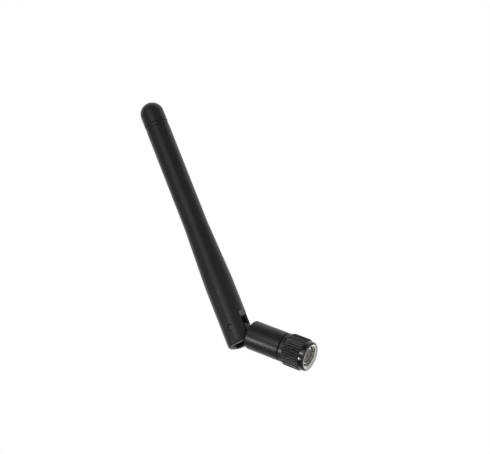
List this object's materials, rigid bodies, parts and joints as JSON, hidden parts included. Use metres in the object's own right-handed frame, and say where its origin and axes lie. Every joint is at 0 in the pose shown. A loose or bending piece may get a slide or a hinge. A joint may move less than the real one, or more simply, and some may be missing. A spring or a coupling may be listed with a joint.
{
  "type": "rod antenna",
  "caption": "Short black rod antenna with a domed cap, a tilt hinge and a swivel barrel on a knurled coaxial screw plug.",
  "frame": {"origin": "on the plug's axis at the front face of its outer contact, the mating reference plane", "axes": "+Z from the plug's mouth along its axis to the tilt hinge, Y along the hinge pins, the rod leans to +X at rest"},
  "size_m": [0.0586, 0.009, 0.0768],
  "materials": {
    "black_plastic": "moulded black plastic, satin",
    "black_nickel": "black nickel plating, gloss",
    "nickel": "bright nickel plating",
    "gold": "gold plating",
    "insulator": "grey fluoropolymer",
    "spring_bronze": "plain spring bronze",
    "pin_steel": "blackened steel pin",
    "cable_jacket": "black cable jacket",
    "cable_braid": "tinned copper braid",
    "cable_core": "clear cable insulation",
    "copper": "silver plated copper",
    "solder": "solder",
    "bright_brass": "drawn brass",
    "natural_plastic": "natural plastic"
  },
  "bodies": {
    "connector": {"connector_body": "nickel", "dielectric": "insulator", "centre_contact": "gold", "retaining_ring": "spring_bronze", "crimp_ferrule": "bright_brass", "coax_lower": "cable_jacket", "coax_braid_lower": "cable_braid", "coax_core_lower": "cable_core", "coax_conductor_lower": "copper"},
    "coupling": {"coupling_nut": "black_nickel"},
    "knuckle": {"knuckle_barrel": "black_plastic", "coax_bend": "cable_jacket"},
    "whip": {"radome": "black_plastic", "hinge_pins": "pin_steel", "tip_cap": "black_plastic", "coax_upper": "cable_jacket", "coax_braid_upper": "cable_braid", "coax_core_upper": "cable_core", "coax_conductor_upper": "copper", "sleeve_element": "bright_brass", "solder_ring": "solder", "sleeve_bush": "natural_plastic", "upper_element": "bright_brass", "element_spacer": "natural_plastic"}
  },
  "joints": [
    {"name": "nut_spin", "type": "hinge", "parent": "connector", "child": "coupling", "pos_m": [0, 0, 0.003], "axis": [0, 0, 1], "continuous": true},
    {"name": "knuckle_swivel", "type": "hinge", "parent": "connector", "child": "knuckle", "pos_m": [0, 0, 0.0125], "axis": [0, 0, 1], "range_deg": [-180, 180]},
    {"name": "rod_tilt", "type": "hinge", "parent": "knuckle", "child": "whip", "pos_m": [0, 0, 0.0232], "axis": [0, 1, 0], "range_deg": [-45, 45], "deforming": ["coax_bend"]}
  ]
}
